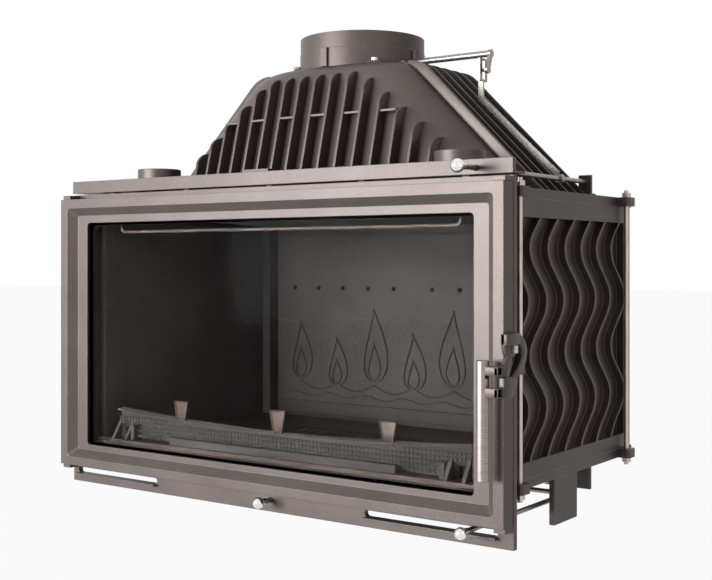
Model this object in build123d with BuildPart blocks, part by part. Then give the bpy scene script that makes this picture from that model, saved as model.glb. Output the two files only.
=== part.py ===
"""Cast-iron fireplace insert with a side-hinged glass door, ribbed smoke hood and flue damper.

+X is to the right of someone facing the door, +Y goes back from the door, +Z is up.
The origin is on the floor, under the middle of the insert. All sizes are millimetres.
"""

from build123d import *
from math import atan2, cos, degrees, pi, radians, sin
import os

os.makedirs("parts", exist_ok=True)

# Driving dimensions
FLUE_D = 200.0            # outside of the flue collar, the standard size that everything scales to
HEIGHT = 718.5            # floor to the rim of the flue collar
FRONT = -218.0            # Y of the door's front face
DEPTH = 466.0             # door's face to the back of the body
DOOR_W, DOOR_H, DOOR_T = 814.0, 429.0, 24.0
DOOR_Z = 34.0             # underside of the door above the floor
BODY_W = 760.0            # width over the side panels
BODY_FRONT = 36.0         # depth of the body's front behind the door's face
BASE_Z, BASE_T = 63.7, 13.1
TOP_Z, TOP_T = 447.2, 13.5
FIT = 0.05                # radial clearance of a shaft in its bore

# Heights and depths worked out from them
BASE_TOP = BASE_Z + BASE_T
TOP_TOP = TOP_Z + TOP_T
DOOR_TOP = DOOR_Z + DOOR_H
BODY_X = BODY_W / 2
BACK = FRONT + DEPTH


def deep(depth):
    """Y of a place that lies this deep behind the door's front face."""
    return FRONT + depth


def upright(y):
    """Plane across the insert at Y = y: sketch in X and Z, extrude towards the front."""
    return Plane(origin=(0, y, 0), x_dir=(1, 0, 0), z_dir=(0, -1, 0))


def sideways(x):
    """Plane along the insert at X = x: sketch in Y and Z, extrude towards +X."""
    return Plane(origin=(x, 0, 0), x_dir=(0, 1, 0), z_dir=(1, 0, 0))


def level(z):
    """Plane flat at Z = z: sketch in X and Y, extrude upwards."""
    return Plane.XY.offset(z)


def save(piece, name):
    """Label a finished piece and write it out."""
    piece.part.label = name
    export_step(piece.part, f"parts/{name}.step")


def box_between(low, high, mode=Mode.ADD):
    """Box from its lowest corner to its highest corner, in the current part."""
    size = [b - a for a, b in zip(low, high)]
    middle = tuple((a + b) / 2 for a, b in zip(low, high))
    with Locations(middle):
        Box(*size, mode=mode)


# Tie rods: four thin rods clamp the top casting, side panels and base together
TIE_X, TIE_R = 388.0, 3.5
TIE_Y = (deep(79), deep(427))
TIE_SPOTS = [(side * TIE_X, y) for side in (-1, 1) for y in TIE_Y]
LUG_W, LUG_L = 20.0, 26.0
TIE_REACH = 11.0          # rod past the casting at each end


def clamp_plate(z, thick):
    """Plan of the top or base casting with its four tie-rod lugs."""
    with BuildSketch(level(z)) as plan:
        with Locations((0, (deep(BODY_FRONT) + BACK) / 2)):
            Rectangle(BODY_W, DEPTH - BODY_FRONT)
        with Locations(*TIE_SPOTS):
            RectangleRounded(LUG_W, LUG_L, 5)
        with Locations(*TIE_SPOTS):
            Circle(TIE_R + 0.4, mode=Mode.SUBTRACT)
    extrude(plan.sketch, amount=thick)


# Base casting: floor of the firebox with the well for the grate
GRATE_W, GRATE_L = 330.0, 150.0
GRATE_Y = deep(255)
with BuildPart() as base_casting:
    clamp_plate(BASE_Z, BASE_T)
    with Locations((0, GRATE_Y, BASE_TOP)):
        Box(GRATE_W, GRATE_L, 2 * 8.0, mode=Mode.SUBTRACT)
    with Locations((0, GRATE_Y, BASE_Z)):
        Box(GRATE_W - 24, GRATE_L - 24, 40, mode=Mode.SUBTRACT)
save(base_casting, "base_casting")

# Grate: bars over the well, with long slots for the ash
with BuildPart() as grate:
    with Locations((0, GRATE_Y, BASE_TOP - 4)):
        Box(GRATE_W - 2, GRATE_L - 2, 8)
    with BuildSketch(level(BASE_TOP)):
        with GridLocations(20, 62, 15, 2):
            with Locations((0, GRATE_Y)):
                SlotOverall(50, 9, rotation=90)
    extrude(amount=-8, mode=Mode.SUBTRACT)
save(grate, "grate")

# Top casting: closes the firebox, with the smoke throat and the two spigot holes
THROAT_W = 480.0
SPIGOT_X, SPIGOT_Y, SPIGOT_R, SPIGOT_WALL = 285.0, deep(102), 35.0, 4.0
SPIGOT_TOP = 512.7
with BuildPart() as top_casting:
    clamp_plate(TOP_Z, TOP_T)
    box_between((-THROAT_W / 2, deep(190), TOP_Z - 1), (THROAT_W / 2, deep(375), TOP_TOP + 1), Mode.SUBTRACT)
    with Locations((-SPIGOT_X, SPIGOT_Y, TOP_TOP), (SPIGOT_X, SPIGOT_Y, TOP_TOP)):
        Hole(SPIGOT_R - SPIGOT_WALL, depth=TOP_T)
save(top_casting, "top_casting")

# Air spigots: two short tubes with a foot flange, in front of the hood
for side, name in ((-1, "left_air_spigot"), (1, "right_air_spigot")):
    with BuildPart() as air_spigot:
        with Locations((side * SPIGOT_X, SPIGOT_Y, TOP_TOP)):
            Cylinder(SPIGOT_R, SPIGOT_TOP - TOP_TOP, align=(Align.CENTER, Align.CENTER, Align.MIN))
            Cylinder(SPIGOT_R + 4, 4, align=(Align.CENTER, Align.CENTER, Align.MIN))
            Cylinder(SPIGOT_R - SPIGOT_WALL, 200, mode=Mode.SUBTRACT)
        fillet(air_spigot.edges().filter_by(GeomType.CIRCLE).group_by(Axis.Z)[-1], 0.8)
    save(air_spigot, name)

# Side panels: framed castings with a sunk field of wavy vertical fins
PANEL_T, RECESS = 16.0, 12.0
FIELD_Z = (98.0, 422.0)
FIELD_Y = (deep(58), deep(436))
FIN_T, FIN_PITCH, FIN_COUNT = 5.0, 52.9, 7
FIRST_FIN = deep(98.8)
WAVE_A, WAVE_L, WAVE_TOP = 25.0, 144.0, 380.7


def wave(y, z):
    """Point on a fin's centre line, which comes furthest forward at WAVE_TOP."""
    return y - WAVE_A * cos(2 * pi * (z - WAVE_TOP) / WAVE_L), z


def wavy_fin(y):
    """Outline of one fin in the current sketch."""
    steps = 18
    heights = [FIELD_Z[0] + i * (FIELD_Z[1] - FIELD_Z[0]) / steps for i in range(steps + 1)]
    with BuildLine() as outline:
        front = Spline([wave(y - FIN_T / 2, z) for z in heights])
        rear = Spline([wave(y + FIN_T / 2, z) for z in heights])
        Line(front @ 0, rear @ 0)
        Line(front @ 1, rear @ 1)
    make_face(outline.edges())


with BuildPart() as right_side_panel:
    box_between((BODY_X - PANEL_T, deep(BODY_FRONT), BASE_TOP), (BODY_X, deep(450), TOP_Z))
    box_between(
        (BODY_X - RECESS, FIELD_Y[0], FIELD_Z[0]), (BODY_X + 1, FIELD_Y[1], FIELD_Z[1]), Mode.SUBTRACT
    )
    with BuildSketch(sideways(BODY_X - RECESS)):
        for fin in range(FIN_COUNT):
            wavy_fin(FIRST_FIN + fin * FIN_PITCH)
        with Locations(((FIELD_Y[0] + FIELD_Y[1]) / 2, sum(FIELD_Z) / 2)):
            Rectangle(FIELD_Y[1] - FIELD_Y[0], FIELD_Z[1] - FIELD_Z[0], mode=Mode.INTERSECT)
    extrude(amount=RECESS - 1)
save(right_side_panel, "right_side_panel")

with BuildPart() as left_side_panel:
    add(mirror(right_side_panel.part, about=Plane.YZ, mode=Mode.PRIVATE))
save(left_side_panel, "left_side_panel")

# Back panel: plain plate with upright cooling ribs
with BuildPart() as back_panel:
    box_between((-BODY_X, deep(450), BASE_TOP), (BODY_X, deep(459), TOP_Z))
    with GridLocations(84, 1, 8, 1):
        with Locations((0, deep(462.5), (BASE_TOP + TOP_Z) / 2)):
            Box(6, 7, TOP_Z - BASE_TOP - 60)
save(back_panel, "back_panel")

# Tie rods and their nuts
with BuildPart() as tie_rods:
    with Locations(*[(x, y, BASE_Z - TIE_REACH) for x, y in TIE_SPOTS]):
        Cylinder(TIE_R, TOP_TOP - BASE_Z + 2 * TIE_REACH, align=(Align.CENTER, Align.CENTER, Align.MIN))
save(tie_rods, "tie_rods")

NUT_H, NUT_R = 7.0, 7.4
with BuildPart() as tie_rod_nuts:
    for z in (BASE_Z - NUT_H, TOP_TOP):
        with BuildSketch(level(z)):
            with Locations(*TIE_SPOTS):
                RegularPolygon(NUT_R, 6)
                Circle(TIE_R, mode=Mode.SUBTRACT)
        extrude(amount=NUT_H)
save(tie_rod_nuts, "tie_rod_nuts")

# Front frame: plate round the door opening, with the apron, its air slots and the hinge lugs
PLATE_X = 406.6
PLATE_FACE, PLATE_BACK = 27.3, BODY_FRONT
APRON_Z = 3.0
OPEN_X, OPEN_Z = 362.0, (71.0, 421.0)
PLATE_TOP = 471.5
SLOT_Z, SLOT_H = 21.5, 9.0
SLOTS = ((-305.0, 180.0), (282.0, 205.0))     # middle and length of each air slot
KNOB_X, KNOB_Z = 14.0, 20.0                   # primary air rod
THROTTLE_X, THROTTLE_Z = 354.0, 25.5          # outside air rod
ROD_R = 3.5
HINGE_X, HINGE_Y = -398.5, deep(13)
PIN_R = 4.0
LUG_GAP, LUG_H = 0.6, 6.0
with BuildPart() as front_frame:
    with BuildSketch(upright(deep(PLATE_BACK))):
        with Locations((0, (APRON_Z + PLATE_TOP) / 2)):
            Rectangle(2 * PLATE_X, PLATE_TOP - APRON_Z)
        with Locations((0, sum(OPEN_Z) / 2)):
            RectangleRounded(2 * OPEN_X, OPEN_Z[1] - OPEN_Z[0], 14, mode=Mode.SUBTRACT)
        for middle, length in SLOTS:
            with Locations((middle, SLOT_Z)):
                SlotOverall(length, SLOT_H, mode=Mode.SUBTRACT)
        with Locations((KNOB_X, KNOB_Z), (THROTTLE_X, THROTTLE_Z)):
            Circle(ROD_R + 0.5, mode=Mode.SUBTRACT)
    extrude(amount=PLATE_BACK - PLATE_FACE)
    for middle, length in SLOTS:
        box_between(
            (middle - length / 2, deep(19), SLOT_Z - SLOT_H / 2 - 3),
            (middle + length / 2, deep(PLATE_FACE + 1), SLOT_Z - SLOT_H / 2),
        )
    for x in (HINGE_X, -HINGE_X):
        for z in (DOOR_Z - LUG_GAP - LUG_H, DOOR_TOP + LUG_GAP):
            box_between((x - 8, HINGE_Y - 8, z), (x + 8, deep(PLATE_FACE + 1), z + LUG_H))
    with Locations((HINGE_X, HINGE_Y, DOOR_Z - 20), (HINGE_X, HINGE_Y, DOOR_TOP)):
        Cylinder(PIN_R, 60, mode=Mode.SUBTRACT)
save(front_frame, "front_frame")

# Hinge pins: pressed in the left lugs, they reach into the door's corners
PIN_REACH = 16.0
with BuildPart() as hinge_pins:
    with Locations((HINGE_X, HINGE_Y, DOOR_Z - LUG_GAP - LUG_H)):
        Cylinder(PIN_R, LUG_H + LUG_GAP + PIN_REACH, align=(Align.CENTER, Align.CENTER, Align.MIN))
    with Locations((HINGE_X, HINGE_Y, DOOR_TOP - PIN_REACH)):
        Cylinder(PIN_R, LUG_H + LUG_GAP + PIN_REACH, align=(Align.CENTER, Align.CENTER, Align.MIN))
save(hinge_pins, "hinge_pins")

# Top ledge: thin band above the door, on a web that rests on the top casting
LEDGE_Z = (474.0, 493.4)
PULL_X, PULL_Z = 354.0, 482.0
with BuildPart() as top_ledge:
    box_between((-PLATE_X, deep(25), LEDGE_Z[0]), (PLATE_X, deep(33), LEDGE_Z[1]))
    box_between((-PLATE_X, deep(33), LEDGE_Z[0]), (PLATE_X, deep(58), LEDGE_Z[0] + 3))
    for x in (-330, -165, 0, 165, 330):
        box_between((x - 5, deep(40), TOP_TOP), (x + 5, deep(56), LEDGE_Z[0] + 1))
    with Locations(Plane(origin=(PULL_X, deep(29), PULL_Z), x_dir=(1, 0, 0), z_dir=(0, 1, 0))):
        Cylinder(ROD_R + 0.5, 20, mode=Mode.SUBTRACT)
save(top_ledge, "top_ledge")

# Smoke hood: a gabled casting with 45 degree sides, narrowing to the flue
HOOD_TOP = 665.0
GABLE = 822.4             # half width plus height on the gable's sloping edge
SHELL = 783.0             # the same sum for the narrower shell behind the gable
GABLE_Y = 202.0
HOOD_BACK = 392.0
SHELL_FRONT, SHELL_LEAN = 108.0, 0.236
FIN_FRONT, FIN_LEAN = 86.0, 0.347
PLAN_R = 1106.0           # the front bows out in plan on this radius
RIB_PITCH, RIB_COUNT, RIB_T = 30.4, 16, 5.0
SIDE_FINS, SIDE_PITCH = 5, 29.4
FLUE_Y = deep(276)


def gable(total, y, amount, round_by, low=TOP_TOP, high=HOOD_TOP, mode=Mode.ADD):
    """Gable-shaped slab: sloping edges where half width plus height equals total."""
    with BuildSketch(upright(y)) as outline:
        with BuildLine():
            Polyline(
                (-(total - low), low), (total - low, low), (total - high, high),
                (-(total - high), high), close=True,
            )
        make_face()
        fillet(outline.vertices().group_by(Axis.Y)[-1], round_by)
    extrude(outline.sketch, amount=amount, mode=mode)


def bowed(z, half, front, back):
    """Face of the plan section with a bowed front, for the hood's front shell."""
    sag = half * half / (2 * PLAN_R)
    with BuildSketch(level(z)) as section:
        with BuildLine():
            ThreePointArc((-half, deep(front + sag)), (0, deep(front)), (half, deep(front + sag)))
            Polyline(
                (half, deep(front + sag)), (half, deep(back)), (-half, deep(back)),
                (-half, deep(front + sag)),
            )
        make_face()
    return section.sketch


with BuildPart() as hood_front:
    low_plan = bowed(TOP_TOP, 380, SHELL_FRONT, GABLE_Y + 6)
    high_plan = bowed(HOOD_TOP, 220, SHELL_FRONT + SHELL_LEAN * (HOOD_TOP - TOP_TOP), GABLE_Y + 6)
    loft([low_plan, high_plan])
    gable(GABLE, deep(GABLE_Y + 6), 160, 52, mode=Mode.INTERSECT)
    front_edges = hood_front.faces().sort_by(Axis.Y)[0].edges()
    fillet(front_edges.filter_by(lambda e: e.center().Z > TOP_TOP + 5), 26)

with BuildPart() as smoke_hood:
    add(hood_front.part)
    gable(SHELL, deep(HOOD_BACK), HOOD_BACK - GABLE_Y, 14)
    for fin in range(SIDE_FINS):
        gable(GABLE, deep(GABLE_Y + SIDE_PITCH * (fin + 1)), RIB_T, 52)
    for rib in range(RIB_COUNT):
        x = (rib - (RIB_COUNT - 1) / 2) * RIB_PITCH
        foot = FIN_FRONT + x * x / (2 * PLAN_R)
        rise = min(HOOD_TOP - 8, GABLE - 60 - abs(x)) - TOP_TOP
        with BuildSketch(sideways(x - RIB_T / 2)):
            Polygon(
                (deep(foot), TOP_TOP), (deep(foot + FIN_LEAN * rise), TOP_TOP + rise),
                (deep(180), TOP_TOP + rise), (deep(180), TOP_TOP), align=None,
            )
        extrude(amount=RIB_T)
    with BuildSketch(upright(deep(HOOD_BACK - 9))):
        Polygon(
            (-(SHELL - 30 - TOP_TOP), TOP_TOP - 1), (SHELL - 30 - TOP_TOP, TOP_TOP - 1),
            (SHELL - 30 - HOOD_TOP + 9, HOOD_TOP - 9), (-(SHELL - 30 - HOOD_TOP + 9), HOOD_TOP - 9),
            align=None,
        )
    extrude(amount=HOOD_BACK - 9 - 178, mode=Mode.SUBTRACT)
    with Locations((0, FLUE_Y, HOOD_TOP)):
        Cylinder(FLUE_D / 2 - 10, 60, mode=Mode.SUBTRACT)
    SHELF_Z = 600.0
    for gap in range(5):
        x = (gap * 2 - 4) * RIB_PITCH
        y = FIN_FRONT + FIN_LEAN * (SHELF_Z - TOP_TOP) + 4
        box_between(
            (x - RIB_PITCH / 2, deep(y), SHELF_Z - 4), (x + RIB_PITCH / 2, deep(y + 26), SHELF_Z)
        )
save(smoke_hood, "smoke_hood")

# Flue collar: a short tube with four upright bosses, two of which carry the damper shaft
COLLAR_R, COLLAR_WALL = FLUE_D / 2, 7.0
SHAFT_Z, SHAFT_R = 675.5, 5.0
BOSS_W, BOSS_TOP = 12.0, 694.0
PIPE_STOP = 0.8           # step level with the tops of the bosses, where the pipe comes to rest
EAR_R = 107.0
with BuildPart() as flue_collar:
    with Locations((0, FLUE_Y, HOOD_TOP)):
        Cylinder(COLLAR_R, HEIGHT - HOOD_TOP, align=(Align.CENTER, Align.CENTER, Align.MIN))
        Cylinder(
            COLLAR_R + PIPE_STOP, BOSS_TOP - HOOD_TOP, align=(Align.CENTER, Align.CENTER, Align.MIN)
        )
    with BuildSketch(level(HOOD_TOP)):
        with Locations((0, FLUE_Y)):
            with PolarLocations(COLLAR_R, 4):
                Rectangle(10, BOSS_W)
            with PolarLocations(EAR_R - 5, 4, start_angle=45):
                Rectangle(18, 18)
    extrude(amount=5)
    with BuildSketch(level(HOOD_TOP)):
        with Locations((0, FLUE_Y)):
            with PolarLocations(COLLAR_R, 4):
                Rectangle(10, BOSS_W)
    extrude(amount=BOSS_TOP - HOOD_TOP)
    with Locations((0, FLUE_Y, HOOD_TOP)):
        Cylinder(COLLAR_R - COLLAR_WALL, 200, mode=Mode.SUBTRACT)
    with Locations(Plane(origin=(0, FLUE_Y, SHAFT_Z), x_dir=(0, 1, 0), z_dir=(1, 0, 0))):
        Cylinder(SHAFT_R + FIT, 240, mode=Mode.SUBTRACT)
save(flue_collar, "flue_collar")

with BuildPart() as collar_bolts:
    with BuildSketch(level(HOOD_TOP + 5)):
        with Locations((0, FLUE_Y)):
            with PolarLocations(EAR_R, 4, start_angle=45):
                RegularPolygon(5.5, 6)
    extrude(amount=4.5)
save(collar_bolts, "collar_bolts")

# Damper: a shaft across the collar, its crank at the right end and a round plate
SHAFT_END = 238.0
CRANK = 27.0
CRANK_LEAN = radians(20)
PIN_Y = FLUE_Y - CRANK * sin(CRANK_LEAN)
PIN_Z = SHAFT_Z - CRANK * cos(CRANK_LEAN)
LINK_X = 234.0
with BuildPart() as damper_shaft:
    with Locations(Plane(origin=(-COLLAR_R - 8, FLUE_Y, SHAFT_Z), x_dir=(0, 1, 0), z_dir=(1, 0, 0))):
        Cylinder(SHAFT_R, SHAFT_END + COLLAR_R + 8, align=(Align.CENTER, Align.CENTER, Align.MIN))
    with BuildSketch(sideways(SHAFT_END - 5)):
        with Locations((FLUE_Y, SHAFT_Z), (PIN_Y, PIN_Z)):
            Circle(6)
        with Locations(((FLUE_Y + PIN_Y) / 2, (SHAFT_Z + PIN_Z) / 2)):
            Rectangle(CRANK, 7, rotation=degrees(atan2(SHAFT_Z - PIN_Z, FLUE_Y - PIN_Y)))
    extrude(amount=5)
    with BuildSketch(sideways(LINK_X - 10)):
        with Locations((PIN_Y, PIN_Z)):
            Circle(2.5)
    extrude(amount=10)
save(damper_shaft, "damper_shaft")

with BuildPart() as damper_plate:
    with Locations((0, FLUE_Y, SHAFT_Z + SHAFT_R + 1.5)):
        Cylinder(COLLAR_R - COLLAR_WALL - 6, 3)
save(damper_plate, "damper_plate")

with BuildPart() as damper_screws:
    with Locations(*[(x, FLUE_Y, SHAFT_Z + SHAFT_R + 3) for x in (-40, 40)]):
        Cylinder(5, 3, align=(Align.CENTER, Align.CENTER, Align.MIN))
save(damper_screws, "damper_screws")

# Damper linkage: a pull rod along the right side, and the bar from it up to the crank's pin
PULL_FRONT, PULL_REAR = deep(-12), deep(364)
LINK_W, LINK_T = 8.0, 4.0
with BuildPart() as damper_pull_rod:
    with Locations(Plane(origin=(PULL_X, PULL_FRONT, PULL_Z), x_dir=(1, 0, 0), z_dir=(0, 1, 0))):
        Cylinder(ROD_R, PULL_REAR - PULL_FRONT, align=(Align.CENTER, Align.CENTER, Align.MIN))
save(damper_pull_rod, "damper_pull_rod")


def ball_knob(x, y, z, radius):
    """Turned ball knob with a short neck, in the current part, screwed on a rod from the front."""
    with BuildSketch(Plane(origin=(x, y, z), x_dir=(1, 0, 0), z_dir=(0, 0, 1))) as profile:
        with BuildLine():
            arc = CenterArc((0, 0), radius, -90, 150)
            Line(arc @ 1, (4.5, arc.position_at(1).Y))
            Line((4.5, arc.position_at(1).Y), (4.5, radius + 6))
            Line((4.5, radius + 6), (0, radius + 6))
            Line((0, radius + 6), (0, -radius))
        make_face()
    revolve(profile.sketch, axis=Axis((x, y, z), (0, 1, 0)))


with BuildPart() as damper_rod_knob:
    ball_knob(PULL_X, deep(-21), PULL_Z, 9.0)
    with Locations(Plane(origin=(PULL_X, PULL_FRONT, PULL_Z), x_dir=(1, 0, 0), z_dir=(0, 1, 0))):
        Cylinder(ROD_R, 60, align=(Align.CENTER, Align.CENTER, Align.MIN), mode=Mode.SUBTRACT)
save(damper_rod_knob, "damper_rod_knob")

BAR_X, BEND_Z = LINK_X - 9, 607.0
FORK_H, FORK_W = 34.0, 22.0
with BuildPart() as damper_link_bar:
    with BuildSketch(upright(PIN_Y + LINK_T / 2)):
        with BuildLine():
            Polyline((BAR_X, PIN_Z - FORK_H / 2 + 3), (BAR_X, BEND_Z), (PULL_X - 3, PULL_Z + ROD_R + 3))
        trace(line_width=LINK_W)
    extrude(amount=LINK_T)
    with BuildSketch(sideways(BAR_X + 1)):
        with Locations((PIN_Y, PIN_Z)):
            Rectangle(FORK_W, FORK_H)
            Rectangle(7.6, FORK_H - 6, mode=Mode.SUBTRACT)
    extrude(amount=3)
    with Locations(Plane(origin=(PULL_X, PIN_Y, PULL_Z), x_dir=(1, 0, 0), z_dir=(0, 1, 0))):
        Cylinder(ROD_R + 3, 10)
        Cylinder(ROD_R, 10, mode=Mode.SUBTRACT)
save(damper_link_bar, "damper_link_bar")

# Rear bracket: holds the pull rod's far end
with BuildPart() as rod_bracket:
    box_between((PULL_X - 10, deep(351), TOP_TOP), (PULL_X + 10, deep(356), PULL_Z + 10))
    box_between((PULL_X - 10, deep(356), TOP_TOP), (PULL_X + 10, deep(368), TOP_TOP + 4))
    with Locations(Plane(origin=(PULL_X, deep(353), PULL_Z), x_dir=(1, 0, 0), z_dir=(0, 1, 0))):
        Cylinder(ROD_R + FIT, 30, mode=Mode.SUBTRACT)
save(rod_bracket, "rod_bracket")

# Door frame: bevelled rim, sunk land round the glass, bored for the hinge pins
RIM_SIDE, RIM_TOP, RIM_LOW = 14.7, 14.3, 12.8
BEVEL = 12.5
GLASS_X, GLASS_Z = 358.0, (67.5, 425.0)
with BuildPart() as door_frame:
    box_between((-DOOR_W / 2, FRONT, DOOR_Z), (DOOR_W / 2, deep(DOOR_T), DOOR_TOP))
    outer = DOOR_W / 2 - RIM_SIDE
    top, low = DOOR_TOP - RIM_TOP, DOOR_Z + RIM_LOW
    with BuildSketch(upright(FRONT)):
        with Locations((0, (top + low) / 2)):
            RectangleRounded(2 * outer, top - low, 6)
    with BuildSketch(upright(deep(BEVEL))):
        with Locations((0, (top + low) / 2)):
            RectangleRounded(2 * (outer - BEVEL), top - low - 2 * BEVEL + 1, 4)
    loft(mode=Mode.SUBTRACT)
    with BuildSketch(upright(FRONT + 40)):
        with Locations((0, sum(GLASS_Z) / 2)):
            RectangleRounded(2 * GLASS_X, GLASS_Z[1] - GLASS_Z[0], 6)
    extrude(amount=60, mode=Mode.SUBTRACT)
    with BuildSketch(upright(deep(DOOR_T))):
        with Locations((0, sum(GLASS_Z) / 2)):
            Rectangle(2 * GLASS_X + 16, GLASS_Z[1] - GLASS_Z[0] + 16)
    extrude(amount=7, mode=Mode.SUBTRACT)
    with Locations((HINGE_X, HINGE_Y, DOOR_Z), (HINGE_X, HINGE_Y, DOOR_TOP)):
        Cylinder(PIN_R + FIT, 2 * PIN_REACH + 1, mode=Mode.SUBTRACT)
save(door_frame, "door_frame")

# Glass, its gasket and the strips that hold it from behind
with BuildPart() as glass_gasket:
    with BuildSketch(upright(deep(DOOR_T - 5.5))):
        with Locations((0, sum(GLASS_Z) / 2)):
            Rectangle(2 * GLASS_X + 15, GLASS_Z[1] - GLASS_Z[0] + 15)
            Rectangle(2 * GLASS_X + 2, GLASS_Z[1] - GLASS_Z[0] + 2, mode=Mode.SUBTRACT)
    extrude(amount=1.5)
save(glass_gasket, "glass_gasket")

with BuildPart() as door_glass:
    with BuildSketch(upright(deep(DOOR_T - 1.5))):
        with Locations((0, sum(GLASS_Z) / 2)):
            Rectangle(2 * GLASS_X + 14, GLASS_Z[1] - GLASS_Z[0] + 14)
    extrude(amount=4)
save(door_glass, "door_glass")

SPLIT_X = 200.0
strips = {
    "retainer_top": ((-355, 421), (355, 433)),
    "retainer_left": ((-366, 72), (-354, 420)),
    "retainer_right": ((354, 72), (366, 420)),
    "retainer_low_long": ((-355, 60), (SPLIT_X - 1, 71)),
    "retainer_low_short": ((SPLIT_X + 1, 60), (355, 71)),
}
for name, (low_corner, high_corner) in strips.items():
    with BuildPart() as strip:
        box_between(
            (low_corner[0], deep(DOOR_T - 1.5), low_corner[1]),
            (high_corner[0], deep(DOOR_T + 1), high_corner[1]),
        )
    save(strip, name)

# Rope gasket: the soft seal on the back of the door, outside the glass strips
with BuildPart() as door_rope_gasket:
    with BuildSketch(upright(deep(DOOR_T + 2.9))):
        with Locations((0, sum(GLASS_Z) / 2)):
            RectangleRounded(2 * 382, GLASS_Z[1] - GLASS_Z[0] + 34, 10)
            RectangleRounded(2 * 372, GLASS_Z[1] - GLASS_Z[0] + 18, 8, mode=Mode.SUBTRACT)
    extrude(amount=2.9)
save(door_rope_gasket, "door_rope_gasket")

# Latch: a cast lever on the door's right edge, turned by the upright grip
BOLT_Y, BOLT_Z = deep(14), 255.0
GRIP_X, GRIP_Y, GRIP_R = 390.0, deep(-22), 8.0
GRIP_Z = (95.0, 243.0)
LEVER_X = DOOR_W / 2 + 1.0
LEVER_T = 6.0
with BuildPart() as latch_lever:
    with BuildSketch(sideways(LEVER_X)):
        with Locations((BOLT_Y, BOLT_Z)):
            Circle(15)
        with Locations((deep(-5), 236.0)):
            Rectangle(44, 9, rotation=32)
        with Locations((deep(-5), 212.0)):
            Rectangle(40, 8, rotation=20)
        with BuildLine():
            ThreePointArc((deep(22), 268), (deep(33), 236), (deep(14), 206))
            Polyline((deep(14), 206), (deep(7), 213))
            ThreePointArc((deep(7), 213), (deep(22), 236), (deep(14), 262))
            Line((deep(14), 262), (deep(22), 268))
        make_face()
        with Locations((BOLT_Y, BOLT_Z)):
            Circle(5 + FIT, mode=Mode.SUBTRACT)
    extrude(amount=LEVER_T)
    for z in (225.0, 206.0):
        box_between((GRIP_X - 4, deep(-27), z - 4), (LEVER_X + LEVER_T, deep(-17), z + 4))
save(latch_lever, "latch_lever")

with BuildPart() as handle_grip:
    with Locations((GRIP_X, GRIP_Y, GRIP_Z[0])):
        Cylinder(GRIP_R, GRIP_Z[1] - GRIP_Z[0], align=(Align.CENTER, Align.CENTER, Align.MIN))
    fillet(handle_grip.edges().filter_by(GeomType.CIRCLE), 1.5)
    for z in (225.0, 206.0):
        box_between((GRIP_X - 4, deep(-27), z - 4), (GRIP_X + 20, deep(-17), z + 4), Mode.SUBTRACT)
save(handle_grip, "handle_grip")

with BuildPart() as latch_bolt:
    with BuildSketch(sideways(DOOR_W / 2)):
        with Locations((BOLT_Y, BOLT_Z)):
            Circle(5)
    extrude(amount=LEVER_T + 1.3)
    with BuildSketch(sideways(LEVER_X + LEVER_T + 0.3)):
        with Locations((BOLT_Y, BOLT_Z)):
            Rectangle(9, 9)
    extrude(amount=3)
save(latch_bolt, "latch_bolt")

# Catch: the small block on the front frame that the lever's crescent runs behind
with BuildPart() as latch_catch:
    box_between((PLATE_X, deep(34.5), 222), (PLATE_X + 6, deep(46), 258))
    box_between((BODY_X, deep(36), 222), (PLATE_X + 1, deep(46), 258))
save(latch_catch, "latch_catch")

# Fireback and side liners: plates that line the firebox
with BuildPart() as fireback:
    box_between((-299, deep(426), BASE_TOP + 10), (299, deep(438), 410))
    box_between((-310, deep(438), BASE_TOP), (310, deep(444), 425))
    with BuildSketch(upright(deep(445))):
        for side in (-1, 1):
            with Locations(*[(side * (39.5 + 54.8 * hole), 314.4) for hole in range(5)]):
                Circle(4)
    extrude(amount=20, mode=Mode.SUBTRACT)
save(fireback, "fireback")

with BuildPart() as right_liner:
    with BuildSketch(level(BASE_TOP)):
        Polygon(
            (352, deep(46)), (362, deep(46)), (362, deep(448)), (318, deep(448)), (318, deep(424)),
            (335, deep(424)), align=None,
        )
    extrude(amount=350)
save(right_liner, "right_liner")

with BuildPart() as left_liner:
    add(mirror(right_liner.part, about=Plane.YZ, mode=Mode.PRIVATE))
save(left_liner, "left_liner")

# Baffle plate above the fire, the air-wash lip and the thin bar behind the glass
with BuildPart() as baffle_plate:
    with BuildSketch(sideways(-317)):
        Polygon((deep(446), 425.2), (deep(446), 433), (deep(140), 444), (deep(140), 436), align=None)
    extrude(amount=634)
save(baffle_plate, "baffle_plate")

with BuildPart() as airwash_lip:
    box_between((-362, deep(37), 430), (362, deep(64), 434))
    box_between((-349, deep(60), 422), (349, deep(64), 431))
save(airwash_lip, "airwash_lip")

with BuildPart() as airwash_bar:
    box_between((-320, deep(48), 408), (320, deep(53), 412))
    for side in (-1, 1):
        box_between((side * 318 - 2, deep(48), 411), (side * 318 + 2, deep(53), 430))
save(airwash_bar, "airwash_bar")

# Log guard: low wall with a hollow top edge, end cut-outs and gusset feet, and three horns
GUARD_Y = deep(64.5)
with BuildPart() as log_guard:
    with BuildSketch(upright(GUARD_Y + 8)):
        with BuildLine():
            ThreePointArc((-333, 124.5), (0, 112), (333, 124.5))
            Polyline((333, 124.5), (333, BASE_TOP), (-333, BASE_TOP), (-333, 124.5))
        make_face()
        with Locations((-315, BASE_TOP + 8), (315, BASE_TOP + 8)):
            Rectangle(18, 18, mode=Mode.SUBTRACT)
    extrude(amount=8)
    for x in (-290, 290):
        box_between((x - 4, GUARD_Y - 18, BASE_TOP), (x + 4, GUARD_Y + 1, BASE_TOP + 22))
save(log_guard, "log_guard")

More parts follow.
